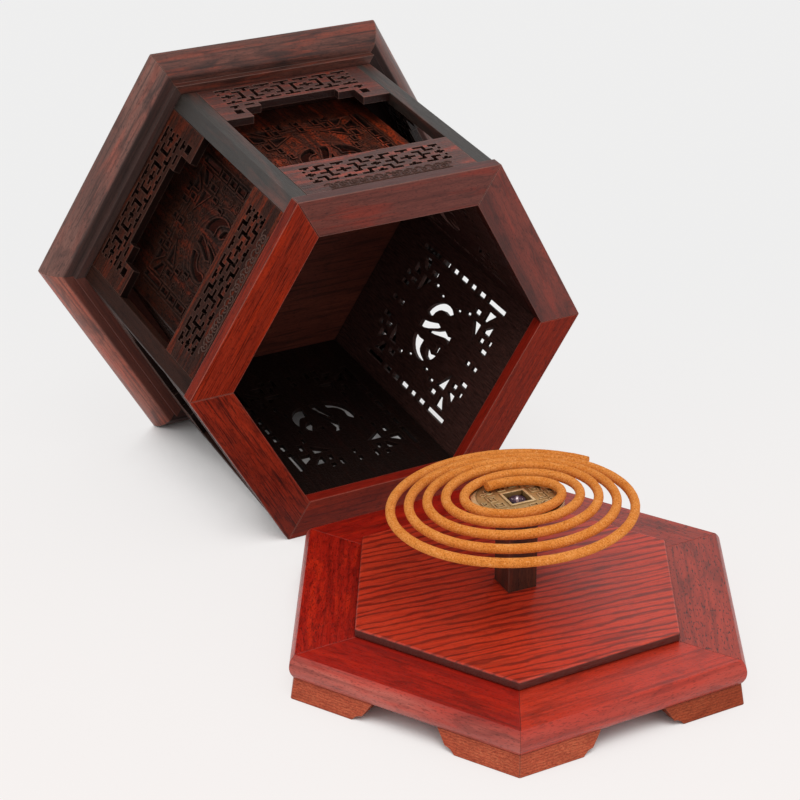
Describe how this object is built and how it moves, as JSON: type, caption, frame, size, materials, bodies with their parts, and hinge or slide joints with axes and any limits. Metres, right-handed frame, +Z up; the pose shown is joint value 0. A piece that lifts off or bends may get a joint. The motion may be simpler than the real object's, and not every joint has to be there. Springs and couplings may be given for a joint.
{
  "type": "hexagonal incense box",
  "caption": "Six-sided wooden incense box: a footed base with an incense coil on a coin-shaped plate, and a pierced hood lying tipped off behind it.",
  "frame": {"origin": "centre of the six-sided base, on the floor that its feet stand on", "axes": "+Z up along the axis of the base; -Y towards the base's front corner; the lying hood is towards +Y and -X"},
  "size_m": [0.2345, 0.2804, 0.1487],
  "materials": {
    "red_rosewood": "waxed, fine-grained",
    "brown_rosewood": "matt",
    "striped_rosewood": "waxed, dark stripes",
    "dark_rosewood": "waxed",
    "old_brass": "worn",
    "steel": "plain",
    "incense": "rough, pressed powder"
  },
  "bodies": {
    "base": {"base_rail_1": "red_rosewood", "base_rail_2": "red_rosewood", "base_rail_3": "red_rosewood", "base_rail_4": "red_rosewood", "base_rail_5": "red_rosewood", "base_rail_6": "red_rosewood", "foot_1": "brown_rosewood", "foot_2": "brown_rosewood", "foot_3": "brown_rosewood", "foot_4": "brown_rosewood", "foot_5": "brown_rosewood", "foot_6": "brown_rosewood", "base_board": "brown_rosewood", "platform": "striped_rosewood", "post": "dark_rosewood", "coin_plate": "old_brass", "coin_screw": "steel"},
    "hood": {"mouth_rail_1": "red_rosewood", "mouth_rail_2": "red_rosewood", "mouth_rail_3": "red_rosewood", "mouth_rail_4": "red_rosewood", "mouth_rail_5": "red_rosewood", "mouth_rail_6": "red_rosewood", "corner_post_1": "dark_rosewood", "corner_post_2": "dark_rosewood", "corner_post_3": "dark_rosewood", "corner_post_4": "dark_rosewood", "corner_post_5": "dark_rosewood", "corner_post_6": "dark_rosewood", "lower_fret_1": "dark_rosewood", "lower_fret_2": "dark_rosewood", "lower_fret_3": "dark_rosewood", "lower_fret_4": "dark_rosewood", "lower_fret_5": "dark_rosewood", "lower_fret_6": "dark_rosewood", "upper_fret_1": "dark_rosewood", "upper_fret_2": "dark_rosewood", "upper_fret_3": "dark_rosewood", "upper_fret_4": "dark_rosewood", "upper_fret_5": "dark_rosewood", "upper_fret_6": "dark_rosewood", "inner_panel_1": "dark_rosewood", "inner_panel_2": "dark_rosewood", "inner_panel_3": "dark_rosewood", "inner_panel_4": "dark_rosewood", "inner_panel_5": "dark_rosewood", "inner_panel_6": "dark_rosewood", "cornice_rail_1": "red_rosewood", "cornice_rail_2": "red_rosewood", "cornice_rail_3": "red_rosewood", "cornice_rail_4": "red_rosewood", "cornice_rail_5": "red_rosewood", "cornice_rail_6": "red_rosewood", "top_panel": "dark_rosewood"},
    "incense_coil": {"incense_coil": "incense"}
  },
  "joints": [
    {"name": "hood_tip", "type": "hinge", "parent": "base", "child": "hood", "pos_m": [-0.03354, 0.0581, -0.00546], "axis": [0.866, 0.5, 0], "range_deg": [0, 83.9]},
    {"name": "coil_lift", "type": "slide", "parent": "base", "child": "incense_coil", "axis": [0, 0, 1], "range_m": [0, 0.03]}
  ]
}
